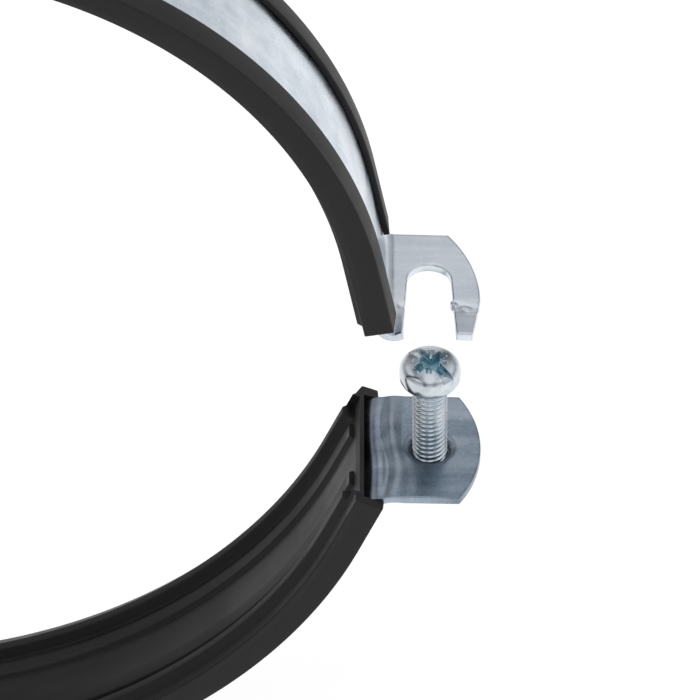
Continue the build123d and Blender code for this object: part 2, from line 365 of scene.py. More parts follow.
def baked(piece, smooth_angle=40):
    """Replace a piece's modifiers by their result and smooth its gentle edges."""
    mesh = evaluated_mesh(piece)
    mesh.name = piece.name
    if piece.type == "MESH":
        piece.modifiers.clear()
        piece.data = mesh
    else:
        name = piece.name
        bpy.data.objects.remove(piece)
        piece = bpy.data.objects.new(name, mesh)
        bpy.context.scene.collection.objects.link(piece)
    smooth(piece, smooth_angle)
    return piece


def smooth(piece, smooth_angle=40):
    """Smooth shading up to an angle."""
    piece.data.shade_smooth()
    piece.data.set_sharp_from_angle(angle=radians(smooth_angle))


def add_bevel(piece, width, segments=2, limit=40):
    """Round the sharp edges of a piece."""
    bevel = piece.modifiers.new("Edge rounding", "BEVEL")
    bevel.width, bevel.segments, bevel.limit_method = width, segments, "ANGLE"
    bevel.angle_limit = radians(limit)
    bevel.use_clamp_overlap = False
    bevel.harden_normals = False


def cut(piece, cutter):
    """Take a cutter's shape out of a piece and delete the cutter."""
    boolean = piece.modifiers.new("Cut", "BOOLEAN")
    boolean.operation, boolean.solver, boolean.object = "DIFFERENCE", "EXACT", cutter
    piece = baked(piece)
    bpy.data.objects.remove(cutter)
    return piece


def fitted(piece, body, material_slot, material, *nodes):
    """Give a finished piece its material, its body and the solids it stands for."""
    piece.data.materials.clear()
    piece.data.materials.append(material)
    for polygon in piece.data.polygons:
        polygon.material_index = 0
    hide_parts(*nodes)
    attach(piece, body)


# ---------------------------------------------------------------- the band's course


def opened_matrix(band):
    """Draws the upper half out along its pivot hole and tilts it open about the pivot screw."""
    draw = Matrix.Translation((band.pivot_draw, 0, 0))
    tilt = Matrix.Rotation(-band.open_tilt, 4, "Y")
    return Matrix.Translation(PIVOT) @ tilt @ Matrix.Translation(-PIVOT) @ draw


def bend_radius(band, above):
    """Middle radius of a half's bends."""
    return band.upper_bend if above > 0 else band.lower_bend


def lead_angle(band, above):
    """Where a half's circle turns straight, below the horizontal."""
    return band.upper_lead if above > 0 else band.lower_lead


def ear_axes(ear):
    """Middle point of an ear, its outward direction and its upward normal, in the plane across the pipe."""
    out = Vector((cos(ear.droop), -sin(ear.droop)))
    up = Vector((sin(ear.droop), cos(ear.droop)))
    return Vector((ear.place, ear.height)), out, up


def bend_centre(band, ear, above):
    """Centre of the bend between lead and ear."""
    turn = lead_angle(band, above)
    normal = Vector((cos(turn), -sin(turn)))
    middle, out, up = ear_axes(ear)
    radius = bend_radius(band, above)
    height = middle.dot(up) + above * radius
    reach = (band.middle_radius + radius - height * normal.dot(up)) / normal.dot(out)
    return up * height + out * reach


def bend_course(band, ear, above, count=12):
    """Middle line of the right-hand bend, from lead to ear, as (point, share of the bend)."""
    centre, turn = bend_centre(band, ear, above), lead_angle(band, above)
    _, _, up = ear_axes(ear)
    start = atan2(sin(turn), -cos(turn))
    end = atan2(-above * up.y, -above * up.x)
    sweep = (end - start + pi) % (2 * pi) - pi
    turns = [start + sweep * i / count for i in range(count + 1)]
    radius = bend_radius(band, above)
    return [(centre + Vector((cos(at), sin(at))) * radius, i / count) for i, at in enumerate(turns)]


def straight(start, end, step):
    """Points from start up to, but without, end."""
    count = max(2, ceil((end - start).length / step))
    return [start.lerp(end, i / count) for i in range(count)]


def half_course(band, right, left, above):
    """Middle line of a half, from the right-hand ear's root to the left-hand one's: (point, bend share)."""
    turn = lead_angle(band, above)
    ring_end = Vector((cos(turn), -sin(turn))) * band.middle_radius
    ends = []
    for ear in (right, left):
        bend = bend_course(band, ear, above)
        lead = [(point, 0.0) for point in straight(ring_end, bend[0][0], 2 * MM)]
        ends.append(lead + bend)
    sweep = pi + 2 * turn * above
    count = 170
    turns = [-turn + above * sweep * i / count for i in range(1, count)]
    ring = [(Vector((cos(at), sin(at))) * band.middle_radius, 0.0) for at in turns]
    mirrored = [(Vector((-point.x, point.y)), share) for point, share in ends[1]]
    return ends[0][::-1] + ring + mirrored


def across_places(count=26):
    """Places across the band, closer together at its edges and where the prongs are creased."""
    half = (BAND_HIGH.y - BAND_LOW.y) / 2
    even = [half * (1 - EDGE_SHARE) * (2 * i / (count - 2) - 1) for i in range(count - 1)]
    first, step, rows = CREASE_ROWS
    fine = [first + step * i for i in range(rows)]
    kept = [y for y in even if not fine[0] - CREASE_ROOM < y < fine[-1] + CREASE_ROOM]
    return [-half] + sorted(kept + fine) + [half]


def fold_height(band, ahead, across):
    """Height of the soft folds of a lower bend, ahead of the ear's root (positive on the ear)."""
    if not FOLD_START < ahead < FOLD_END:
        return 0.0
    window = sin(pi * (ahead - FOLD_START) / (FOLD_END - FOLD_START)) ** 2
    half_width = (BAND_HIGH.y - BAND_LOW.y) / 2
    sway = band.fold_sway * sin(FOLD_SWING * pi * across / half_width) + FOLD_LEAN * across
    edge = 1 - FOLD_EDGE_FADE * (across / half_width) ** 4
    return band.fold_depth * window * edge * sin(2 * pi * (ahead + sway) / band.fold_spacing)


def add_strip(bm, band, course, above):
    """The bent strip between two ears, with soft folds in the lower half's bends."""
    rows = []
    for i, (point, share) in enumerate(course):
        before, after = course[max(i - 1, 0)][0], course[min(i + 1, len(course) - 1)][0]
        along = (after - before).normalized()
        outward = Vector((along.y, -along.x)) * (1 if point.x * along.y - point.y * along.x > 0 else -1)
        row = []
        for place in across_places():
            ahead = -(1 - share) * pi / 2 * bend_radius(band, above)
            fold = fold_height(band, ahead, place) if above < 0 and share > 0 else 0.0
            shifted = point - outward * fold
            row.append((shifted.x, place, shifted.y))
        rows.append(row)
    add_rows(bm, rows)


# ---------------------------------------------------------------- ears


def on_ear(ear, out_side=1):
    """Function from ear coordinates (out, across, up) to space, for the right (1) or left (-1) ear."""
    middle, out, up = ear_axes(ear)

    def place(u, y, w=0.0):
        point = middle + out * u + up * w
        return (out_side * point.x, y, point.y)

    return place


def ear_root(band, ear, above):
    """Where the flat ear leaves its bend, measured outwards from the screw's axis."""
    middle, out, _ = ear_axes(ear)
    return (bend_centre(band, ear, above) - middle).dot(out)


def arc_points(start, end, bulge_out, count):
    """Points on the circle through (u, y) start and end whose middle reaches bulge_out, without its ends."""
    half_chord = abs(end[1] - start[1]) / 2
    rise = bulge_out - start[0]
    radius = (rise ** 2 + half_chord ** 2) / (2 * rise)
    centre_u, centre_y = bulge_out - radius, (start[1] + end[1]) / 2
    first = atan2(start[1] - centre_y, start[0] - centre_u)
    last = atan2(end[1] - centre_y, end[0] - centre_u)
    turns = [first + (last - first) * i / count for i in range(1, count)]
    return [(centre_u + radius * cos(turn), centre_y + radius * sin(turn)) for turn in turns]


def side_points(start, end, y, step):
    """Points along a straight side from u start to u end, without its end."""
    count = max(2, ceil(abs(end - start) / step))
    return [(start + (end - start) * i / count, y) for i in range(count)]


def round_outline(root, sizes):
    """Outline of a round ear in (u, y), from its root's front corner round and back."""
    places = across_places()
    side = places[-1]
    outline = [(root, y) for y in places[:-1]]
    outline += side_points(root, sizes.corner, side, 0.9 * MM)
    outline.append((sizes.corner, side))
    outline += arc_points((sizes.corner, side), (sizes.corner, -side), sizes.tip, 40)
    outline += side_points(sizes.corner, root, -side, 0.9 * MM)
    return outline


def hole_point(u, y, radius, play):
    """Point of a hole's rim, lengthened outwards by play, that faces the ear point (u, y)."""
    core = min(max(u, 0.0), play)
    reach = hypot(u - core, y)
    return (core + (u - core) / reach * radius, y / reach * radius)


def add_ear(bm, place, outline, rim_radius, play, height_at=lambda u, y: 0.0, count=14):
    """Rows from an ear's outline in to the rim of its hole, at a given height. Gives back that rim."""
    rim = [hole_point(u, y, rim_radius, play) for u, y in outline]
    rows = []
    for t in (i / count for i in range(count + 1)):
        row = [(u + (a - u) * t, y + (b - y) * t) for (u, y), (a, b) in zip(outline, rim)]
        rows.append([place(u, y, (1 - t ** 4) * height_at(u, y)) for u, y in row])
    add_rows(bm, rows, closed=True)
    return rim


def add_threaded_ear(bm, band, sizes, ear, above, out_side):
    """Round ear whose metal is rolled down into an upright collar that holds the thread."""
    place = on_ear(ear, out_side)
    root = ear_root(band, ear, above)
    outline = round_outline(root, sizes)
    wall_radius = sizes.thread_radius + band.thickness / 2
    flat_radius = wall_radius + sizes.funnel_round
    rim = add_ear(bm, place, outline, flat_radius, 0.0, lambda u, y: fold_height(band, u - root, y))
    directions = [Vector(point).normalized() for point in rim]
    rows = []
    for i in range(9):
        turn = pi / 2 * i / 8
        radius = flat_radius - sizes.funnel_round * sin(turn)
        drop = -sizes.funnel_round * (1 - cos(turn))
        rows.append([place(*(direction * radius), drop) for direction in directions])
    for share in (0.8, 1.0):
        drop = -sizes.collar_depth * share
        rows.append([place(*(direction * wall_radius), drop) for direction in directions])
    add_rows(bm, rows, closed=True)


def add_pivot_ear(bm, band, sizes, ear, above, out_side):
    """Round ear with a plain oblong hole."""
    outline = round_outline(ear_root(band, ear, above), sizes)
    add_ear(bm, on_ear(ear, out_side), outline, sizes.pivot_hole_radius, sizes.pivot_hole_play)


def slot_wall(sizes, y):
    """Half width of the hook's slot at a place across the band, below its round end."""
    start = sizes.slot_depth_place
    return sizes.slot_radius + sizes.mouth_widening * (start - y) / (start - BAND_LOW.y)


def nubbed_wall(sizes, y):
    """The outer wall of the slot, with the nub that keeps the screw in."""
    wall = slot_wall(sizes, y)
    off = y - sizes.nub_place
    if abs(off) >= sizes.nub_radius:
        return wall
    middle = slot_wall(sizes, sizes.nub_place) + sizes.nub_radius - sizes.nub_reach
    return min(wall, middle - sqrt(sizes.nub_radius ** 2 - off ** 2))


def crown_radius(sizes):
    """Radius of the crown that runs from the hook ear's widest place to its back corner."""
    rise = sizes.tip - sizes.hook_back_corner
    run = BAND_HIGH.y - sizes.crown_place
    return (rise ** 2 + run ** 2) / (2 * rise)


def hook_outer(sizes, y):
    """Reach of the hook ear's free side at a place across the band."""
    if y >= sizes.crown_place:
        radius = crown_radius(sizes)
        return sizes.tip - radius + sqrt(radius ** 2 - (y - sizes.crown_place) ** 2)
    share = (y - BAND_LOW.y) / (sizes.crown_place - BAND_LOW.y)
    return sizes.hook_tip_out + (sizes.tip - sizes.hook_tip_out) * share


def slot_point(sizes, u, y, outer):
    """Point of the slot's wall that faces the outline point (u, y)."""
    if y <= sizes.slot_depth_place:
        return (nubbed_wall(sizes, y), y) if outer else (-slot_wall(sizes, y), y)
    turn = atan2(y - sizes.slot_depth_place, u)
    return (sizes.slot_radius * cos(turn), sizes.slot_depth_place + sizes.slot_radius * sin(turn))


def crease_drop(u, y):
    """Rough pressing mark that crosses the prongs, deepest on its middle line."""
    line, half_width = OUTER_CREASE if u > 0 else INNER_CREASE
    if u > 0:
        line -= CREASE_SLOPE * (u - CREASE_START)
    off = (y - line) / half_width
    ripple = 0.5 + 1.3 * noise.noise(Vector((u, y, 0.0)) * CREASE_RIPPLE)
    return -CREASE_DEPTH * ripple * max(0.0, 1 - off * off)


def add_hook_ear(bm, band, sizes, ear, above):
    """Ear with a slot open to the front, whose two prongs are set up beyond a pressed crease."""
    root = ear_root(band, ear, above)
    places = across_places()
    side = places[-1]
    nub = [sizes.nub_place + i * 0.15 * MM for i in range(-8, 9)]
    fine = sorted([y for y in places if all(abs(y - other) > 0.1 * MM for other in nub)] + nub)
    outline = [(root, y, False) for y in places[:-1]]
    outline += [(u, side, False) for u, _ in side_points(root, 0.0, side, 0.9 * MM)]
    outline += [(u, side, True) for u, _ in side_points(0.0, sizes.hook_back_corner, side, 0.9 * MM)]
    outline += [(hook_outer(sizes, y), y, True) for y in reversed(fine)]
    place = on_ear(ear)
    rows = []
    for t in (i / 12 for i in range(13)):
        row = []
        for u, y, outer in outline:
            a, b = slot_point(sizes, u, y, outer)
            at_u, at_y = u + (a - u) * t, y + (b - y) * t
            free = min(1.0, (at_u - root) / (1.5 * MM))
            free *= free * (3 - 2 * free)
            beyond = max(0.0, sizes.crease_place - at_y) * free
            back = beyond * (1 - cos(sizes.prong_lift))
            lift = beyond * sin(sizes.prong_lift) + free * crease_drop(at_u, at_y)
            row.append(place(at_u, at_y + back, lift))
        rows.append(row)
    add_rows(bm, rows)


def sheet_piece(name, bm, band):
    """Thicken a middle surface to the sheet's thickness and round its sheared edges."""
    piece = object_from(name, merged(bm, 0.03 * MM))
    wall = piece.modifiers.new("Sheet", "SOLIDIFY")
    wall.thickness, wall.offset, wall.use_quality_normals = band.thickness, 0, True
    add_bevel(piece, band.edge_round, segments=3, limit=50)
    piece = baked(piece, 35)
    weighted = piece.modifiers.new("Flat faces", "WEIGHTED_NORMAL")
    weighted.keep_sharp, weighted.weight = True, 50
    return baked_normals(piece)


def baked_normals(piece):
    """Keep the weighted normals of a piece in its mesh."""
    mesh = evaluated_mesh(piece)
    piece.modifiers.clear()
    piece.data = mesh
    return piece


# ---------------------------------------------------------------- shader groups


def new_group(name, inputs, outputs):
    """An empty shader node group with float or vector sockets."""
    group = bpy.data.node_groups.new(name, "ShaderNodeTree")
    kinds = {"value": "NodeSocketFloat", "vector": "NodeSocketVector", "colour": "NodeSocketColor"}
    for socket, kind, default in inputs:
        made = group.interface.new_socket(socket, in_out="INPUT", socket_type=kinds[kind])
        if default is not None:
            made.default_value = default
    for socket, kind in outputs:
        group.interface.new_socket(socket, in_out="OUTPUT", socket_type=kinds[kind])
    return group, group.nodes.new("NodeGroupInput"), group.nodes.new("NodeGroupOutput")


def put(tree, kind, settings=None, **inputs):
    """Add a node, set its properties, and set or link its inputs by name."""
    node = tree.nodes.new(kind)
    for name, value in (settings or {}).items():
        setattr(node, name, value)
    for name, value in inputs.items():
        connect(tree, node, name.replace("_", " "), value)
    return node


def connect(tree, node, name, value):
    """Set an input's value, or link a socket to it."""
    target = node.inputs[int(name)] if name.isdigit() else node.inputs[name]
    if isinstance(value, bpy.types.NodeSocket):
        tree.links.new(value, target)
    else:
        target.default_value = value


def maths(tree, operation, first, second=0.0, third=None):
    """One maths node, given by its operation."""
    node = tree.nodes.new("ShaderNodeMath")
    node.operation = operation
    connect(tree, node, "0", first)
    connect(tree, node, "1", second)
    if third is not None:
        connect(tree, node, "2", third)
    return node.outputs[0]


def plus(tree, first, second):
    """Sum of two values or sockets."""
    return maths(tree, "ADD", first, second)


def minus(tree, first, second):
    """The first value or socket less the second."""
    return maths(tree, "SUBTRACT", first, second)


def times(tree, first, second):
    """Product of two values or sockets."""
    return maths(tree, "MULTIPLY", first, second)


def vector_maths(tree, operation, first, second):
    """One vector maths node, given by its operation."""
    node = put(tree, "ShaderNodeVectorMath", {"operation": operation}, **{"0": first, "1": second})
    return node.outputs[0]


def ranged(tree, value, low, high, to_low=0.0, to_high=1.0):
    """Map a value from one range to another, clamped."""
    node = tree.nodes.new("ShaderNodeMapRange")
    for name, number in (("From Min", low), ("From Max", high), ("To Min", to_low), ("To Max", to_high)):
        connect(tree, node, name, number)
    connect(tree, node, "Value", value)
    return node.outputs[0]


def mixed(tree, share, first, second):
    """Mix two colours."""
    node = tree.nodes.new("ShaderNodeMix")
    node.data_type = "RGBA"
    connect(tree, node, "0", share)
    connect(tree, node, "6", first)
    connect(tree, node, "7", second)
    return node.outputs[2]


def cloud(tree, vector, scale, detail=3.0, roughness=0.5, stretch=None):
    """Noise over a vector, stretched by a scale for each axis if given."""
    if stretch:
        vector = put(tree, "ShaderNodeMapping", Vector=vector, Scale=stretch).outputs[0]
    node = put(tree, "ShaderNodeTexNoise", Vector=vector, Scale=scale, Detail=detail, Roughness=roughness)
    return node.outputs["Fac"]


def zinc_group():
    """Bright zinc plating: cloudy tone, fine rolling marks, small scratches and their height."""
    group, given, out = new_group(
        "Zinc plating",
        [
            ("Vector", "vector", None),
            ("Cloud Scale", "value", 90.0),
            ("Streak Scale", "value", 260.0),
            ("Streak Share", "value", 0.35),
            ("Smudge", "value", 0.3),
        ],
        [("Tone", "value"), ("Roughness", "value"), ("Height", "value")],
    )
    at = given.outputs["Vector"]
    clouds = cloud(group, at, given.outputs["Cloud Scale"], 4.0, 0.6)
    streaks = cloud(group, at, given.outputs["Streak Scale"], 3.0, 0.6, (0.12, 1.0, 1.0))
    speckle = cloud(group, at, 2600.0, 2.0, 0.5)
    blotch = ranged(group, cloud(group, at, 45.0, 2.0, 0.5), 0.5, 0.68)
    cells = put(group, "ShaderNodeTexVoronoi", {"feature": "DISTANCE_TO_EDGE"}, Vector=at, Scale=120.0)
    scratches = ranged(group, cells.outputs[0], 0.0, 0.012, 1.0, 0.0)
    broken = times(group, scratches, ranged(group, cloud(group, at, 160.0), 0.52, 0.66))
    tone = maths(group, "MULTIPLY_ADD", clouds, 0.9, -0.05)
    streak_part = times(group, minus(group, streaks, 0.5), given.outputs["Streak Share"])
    tone = plus(group, tone, streak_part)
    tone = plus(group, tone, times(group, minus(group, speckle, 0.5), 0.25))
    smudge = times(group, blotch, given.outputs["Smudge"])
    tone = minus(group, tone, times(group, smudge, 0.5))
    tone = plus(group, tone, times(group, broken, 0.18))
    connect(group, out, "Tone", ranged(group, tone, 0.22, 0.72))
    rough = plus(group, ranged(group, clouds, 0.3, 0.7, 0.22, 0.38), times(group, smudge, 0.2))
    connect(group, out, "Roughness", rough)
    height = plus(group, times(group, streaks, 0.5), times(group, speckle, 0.35))
    connect(group, out, "Height", minus(group, height, times(group, broken, 0.6)))
    return group


def rubber_group():
    """Extruded rubber: streaks that run with the lining, fine grain, pale bloom and its height."""
    group, given, out = new_group(
        "Rubber skin",
        [("Vector", "vector", None), ("Centre", "vector", (0.0, 0.0, 0.0)), ("Bloom", "value", 0.4)],
        [("Tone", "value"), ("Roughness", "value"), ("Height", "value"), ("Bore Face", "value")],
    )
    at = vector_maths(group, "SUBTRACT", given.outputs["Vector"], given.outputs["Centre"])
    parts = put(group, "ShaderNodeSeparateXYZ", Vector=at)
    x_part, z_part = parts.outputs["X"], parts.outputs["Z"]
    across = maths(group, "SQRT", maths(group, "MULTIPLY_ADD", x_part, x_part, times(group, z_part, z_part)))
    lengthwise = times(group, maths(group, "ARCTAN2", z_part, x_part), STREAK_STRETCH)
    along = put(group, "ShaderNodeCombineXYZ", X=across, Y=parts.outputs["Y"], Z=lengthwise)
    streaks = cloud(group, along.outputs[0], 520.0, 3.0, 0.6)
    grain = cloud(group, at, 2400.0, 2.0, 0.6)
    bloom = cloud(group, at, 70.0, 4.0, 0.6)
    tone = plus(group, times(group, streaks, 0.5), times(group, grain, 0.25))
    tone = plus(group, tone, times(group, bloom, given.outputs["Bloom"]))
    connect(group, out, "Tone", ranged(group, tone, 0.35, 0.85))
    worn = plus(group, bloom, times(group, streaks, 0.4))
    connect(group, out, "Roughness", ranged(group, worn, 0.5, 0.9, 0.46, 0.62))
    connect(group, out, "Height", plus(group, times(group, streaks, 0.6), times(group, grain, 0.4)))
    shoulder = PIPE_RADIUS + RIB_HEIGHT * MM
    deep = maths(group, "GREATER_THAN", across, shoulder + BORE_FACE[0])
    inside = maths(group, "LESS_THAN", across, shoulder + BORE_FACE[1])
    connect(group, out, "Bore Face", times(group, deep, inside))
    return group


def shared(name, make):
    """A shader group that is built once."""
    return bpy.data.node_groups.get(name) or make()


def new_material(name):
    """A material with an empty Principled surface."""
    material = bpy.data.materials.new(name)
    material.use_nodes = True
    tree = material.node_tree
    return material, tree, tree.nodes["Principled BSDF"]


def zinc_material(name, light, dark, bump=0.05, rough_shift=0.0, **values):
    """Zinc plated steel between two tones."""
    material, tree, surface = new_material(name)
    place = tree.nodes.new("ShaderNodeTexCoord").outputs["Object"]
    plating = {"node_tree": shared("Zinc plating", zinc_group)}
    skin = put(tree, "ShaderNodeGroup", plating, Vector=place, **values)
    tones = mixed(tree, skin.outputs["Tone"], (*dark, 1), (*light, 1))
    connect(tree, surface, "Base Color", tones)
    connect(tree, surface, "Roughness", plus(tree, skin.outputs["Roughness"], rough_shift))
    surface.inputs["Metallic"].default_value = 1.0
    relief = put(tree, "ShaderNodeBump", Strength=bump, Distance=0.1 * MM, Height=skin.outputs["Height"])
    connect(tree, surface, "Normal", relief.outputs[0])
    return material


def tint_recess(material, tint, centre, radius, top):
    """Deepen the colour of what lies under the crown near a screw's axis, on both sides alike."""
    tree = material.node_tree
    surface = tree.nodes["Principled BSDF"]
    place = tree.nodes.new("ShaderNodeTexCoord").outputs["Object"]
    mask = put(tree, "ShaderNodeGroup", {"node_tree": shared("Recess mask", recess_group)}, Vector=place)
    for name, value in (("Centre", centre), ("Radius", radius), ("Top", top)):
        mask.inputs[name].default_value = value
    plain = surface.inputs["Base Color"].links[0].from_socket
    connect(tree, surface, "Base Color", mixed(tree, mask.outputs["Mask"], plain, (*tint, 1)))


def recess_group():
    """Mask of the recess in the heads of two screws that stand as far to either side."""
    group, given, out = new_group(
        "Recess mask",
        [
            ("Vector", "vector", None),
            ("Centre", "value", 0.09),
            ("Radius", "value", 0.004),
            ("Top", "value", 0.0),
        ],
        [("Mask", "value")],
    )
    parts = put(group, "ShaderNodeSeparateXYZ", Vector=given.outputs["Vector"])
    off = minus(group, maths(group, "ABSOLUTE", parts.outputs["X"]), given.outputs["Centre"])
    y_part = times(group, parts.outputs["Y"], parts.outputs["Y"])
    reach = maths(group, "SQRT", maths(group, "MULTIPLY_ADD", off, off, y_part))
    near = maths(group, "LESS_THAN", reach, given.outputs["Radius"])
    depth = minus(group, given.outputs["Top"], parts.outputs["Z"])
    deep = times(group, ranged(group, depth, 0.45 * MM, 1.2 * MM), maths(group, "LESS_THAN", depth, 3 * MM))
    connect(group, out, "Mask", times(group, near, deep))
    return group


def rubber_material(name, finish, centre):
    """Black rubber whose valleys towards the pipe are smoother than its sides."""
    material, tree, surface = new_material(name)
    place = tree.nodes.new("ShaderNodeTexCoord").outputs["Object"]
    rubber = {"node_tree": shared("Rubber skin", rubber_group)}
    skin = put(tree, "ShaderNodeGroup", rubber, Vector=place, Centre=centre)
    tones = mixed(tree, skin.outputs["Tone"], (*finish.rubber_dark, 1), (*finish.rubber_light, 1))
    connect(tree, surface, "Base Color", tones)
    gloss = times(tree, skin.outputs["Bore Face"], -0.12)
    connect(tree, surface, "Roughness", plus(tree, skin.outputs["Roughness"], gloss))
    surface.inputs["Specular IOR Level"].default_value = 0.22
    relief = put(tree, "ShaderNodeBump", Strength=0.12, Distance=0.1 * MM, Height=skin.outputs["Height"])
    connect(tree, surface, "Normal", relief.outputs[0])
    return material


# ---------------------------------------------------------------- geometry node trees


def new_tree(name, inputs):
    """A geometry node tree with one mesh in and out and named inputs."""
    tree = bpy.data.node_groups.new(name, "GeometryNodeTree")
    tree.interface.new_socket("Geometry", in_out="INPUT", socket_type="NodeSocketGeometry")
    kinds = {"float": "NodeSocketFloat", "int": "NodeSocketInt", "material": "NodeSocketMaterial"}
    for socket, kind in inputs:
        tree.interface.new_socket(socket, in_out="INPUT", socket_type=kinds[kind])
    tree.interface.new_socket("Geometry", in_out="OUTPUT", socket_type="NodeSocketGeometry")
    return tree, tree.nodes.new("NodeGroupInput"), tree.nodes.new("NodeGroupOutput")


def swept(tree, given, course, scale=None):
    """Sweep the incoming outline along a course and cap it, thinned by a scale if given."""
    upright = put(tree, "GeometryNodeSetCurveNormal", {"mode": "Z_UP"}, Curve=course).outputs[0]
    profile = given.outputs["Geometry"]
    mesh = put(tree, "GeometryNodeCurveToMesh", Curve=upright, Profile_Curve=profile, Fill_Caps=True)
    if scale is not None:
        connect(tree, mesh, "Scale", scale)
    return mesh.outputs[0]


def close_tree(tree, given, out, geometry):
    """End a tree with real geometry and its material."""
    real = put(tree, "GeometryNodeRealizeInstances", Geometry=geometry).outputs[0]
    painted = put(tree, "GeometryNodeSetMaterial", Geometry=real, Material=given.outputs["Material"])
    connect(tree, out, "Geometry", painted.outputs[0])


def lining_tree():
    """Course of a half: a circle with a straight lead at each end, swept with the lining's section."""
    inputs = [
        ("Radius", "float"), ("Middle Angle", "float"), ("Half Turn", "float"),
        ("Lead", "float"), ("Steps", "int"), ("Material", "material"),
    ]
    tree, given, out = new_tree("Lining course", inputs)
    value = given.outputs
    line = put(tree, "GeometryNodeCurvePrimitiveLine")
    points = put(tree, "GeometryNodeResampleCurve", Curve=line.outputs[0], Count=value["Steps"])
    index = tree.nodes.new("GeometryNodeInputIndex").outputs[0]
    last = minus(tree, value["Steps"], 1.0)
    share = maths(tree, "MULTIPLY_ADD", maths(tree, "DIVIDE", index, last), 2.0, -1.0)
    whole = plus(tree, value["Half Turn"], maths(tree, "DIVIDE", value["Lead"], value["Radius"]))
    turn = times(tree, share, whole)
    lowest = times(tree, value["Half Turn"], -1.0)
    held = maths(tree, "MAXIMUM", maths(tree, "MINIMUM", turn, value["Half Turn"]), lowest)
    ahead = times(tree, minus(tree, turn, held), value["Radius"])
    at = plus(tree, held, value["Middle Angle"])
    east, north = maths(tree, "COSINE", at), maths(tree, "SINE", at)
    x = minus(tree, times(tree, value["Radius"], east), times(tree, ahead, north))
    y = plus(tree, times(tree, value["Radius"], north), times(tree, ahead, east))
    where = put(tree, "ShaderNodeCombineXYZ", X=x, Y=y)
    course = put(tree, "GeometryNodeSetPosition", Geometry=points.outputs[0], Position=where.outputs[0])
    body = swept(tree, given, course.outputs[0])
    upright = put(tree, "GeometryNodeTransform", Geometry=body, Rotation=(pi / 2, 0.0, 0.0))
    close_tree(tree, given, out, upright.outputs[0])
    return tree


def thread_tree():
    """Helix of a right-hand thread, swept with its ridge and fading out at both ends."""
    inputs = [
        ("Radius", "float"), ("Pitch", "float"), ("Turns", "float"),
        ("Turn Points", "int"), ("Top", "float"), ("Material", "material"),
    ]
    tree, given, out = new_tree("Thread course", inputs)
    value = given.outputs
    line = put(tree, "GeometryNodeCurvePrimitiveLine")
    count = maths(tree, "MULTIPLY_ADD", value["Turns"], value["Turn Points"], 1.0)
    points = put(tree, "GeometryNodeResampleCurve", Curve=line.outputs[0], Count=count)
    index = tree.nodes.new("GeometryNodeInputIndex").outputs[0]
    turned = maths(tree, "DIVIDE", index, value["Turn Points"])
    at = times(tree, turned, 2 * pi)
    x = times(tree, value["Radius"], maths(tree, "COSINE", at))
    y = times(tree, value["Radius"], maths(tree, "SINE", at))
    z = plus(tree, value["Top"], times(tree, minus(tree, turned, value["Turns"]), value["Pitch"]))
    where = put(tree, "ShaderNodeCombineXYZ", X=x, Y=y, Z=z)
    course = put(tree, "GeometryNodeSetPosition", Geometry=points.outputs[0], Position=where.outputs[0])
    to_end = maths(tree, "MINIMUM", turned, minus(tree, value["Turns"], turned))
    fade = ranged(tree, to_end, 0.0, 0.7, 0.15, 1.0)
    close_tree(tree, given, out, swept(tree, given, course.outputs[0], fade))
    return tree


def outline_object(name, points):
    """A closed flat curve to be swept."""
    curve = bpy.data.curves.new(name, "CURVE")
    curve.dimensions = "2D"
    spline = curve.splines.new("POLY")
    spline.points.add(len(points) - 1)
    for point, (x, y) in zip(spline.points, points):
        point.co = (x, y, 0, 1)
    spline.use_cyclic_u = True
    piece = bpy.data.objects.new(name, curve)
    bpy.context.scene.collection.objects.link(piece)
    return piece


def run_tree(piece, tree, values):
    """Run a tree on a piece with the given inputs and keep the plain mesh."""
    modifier = piece.modifiers.new(tree.name, "NODES")
    modifier.node_group = tree
    for socket in tree.interface.items_tree:
        if socket.in_out == "INPUT" and socket.name in values:
            modifier[socket.identifier] = values[socket.name]
    return baked(piece, 38)


# ---------------------------------------------------------------- rubber linings


def lining_section(band, lining):
    """Closed section of the lining in (distance from the band's middle, place across)."""
    shoulder = PIPE_RADIUS + lining.rib_height
    valley = shoulder + lining.valley_depth
    seat = shoulder + lining.sole - lining.gap
    edge = (LINING_HIGH.y - LINING_LOW.y) / 2
    wall = (BAND_HIGH.y - BAND_LOW.y) / 2 + lining.gap
    outer = band.middle_radius + band.thickness / 2
    inside = [
        (valley, lining.inner_rib_place - lining.inner_rib_base / 2),
        (shoulder, lining.inner_rib_place - lining.inner_rib_top / 2),
        (shoulder, lining.inner_rib_place + lining.inner_rib_top / 2),
        (valley, lining.inner_rib_place + lining.inner_rib_base / 2),
        (valley, lining.outer_rib_place - lining.outer_rib_base / 2),
        (PIPE_RADIUS, lining.outer_rib_place - lining.outer_rib_top / 2),
        (PIPE_RADIUS, lining.outer_rib_place + lining.outer_rib_top / 2),
    ]
    halves = []
    for rise, reach, drop in (
        (lining.lip_rise, lining.lip_reach, 0.0),
        (lining.far_lip_rise, lining.far_lip_reach, lining.edge_drop),
    ):
        lip, free = outer + rise, edge - reach
        fold = [
            (shoulder, edge - lining.edge_slope),
            (shoulder + drop, edge),
            (lip, edge),
            (lip + lining.lip_slope * rise / lining.lip_rise, free),
            (outer + lining.gap, free),
            (outer + lining.gap, wall),
            (seat, wall),
        ]
        halves.append(inside + fold)
    near, far = halves
    whole = [(radius, -place) for radius, place in near] + far[::-1]
    return rounded([(radius - band.middle_radius, place) for radius, place in whole], lining.corner_round)


def lead_length(band, above, end_height):
    """How far a lining runs along the straight lead, to where the band's middle has the end height."""
    turn = lead_angle(band, above)
    return (band.middle_radius * sin(turn) + end_height) / (-above * cos(turn))


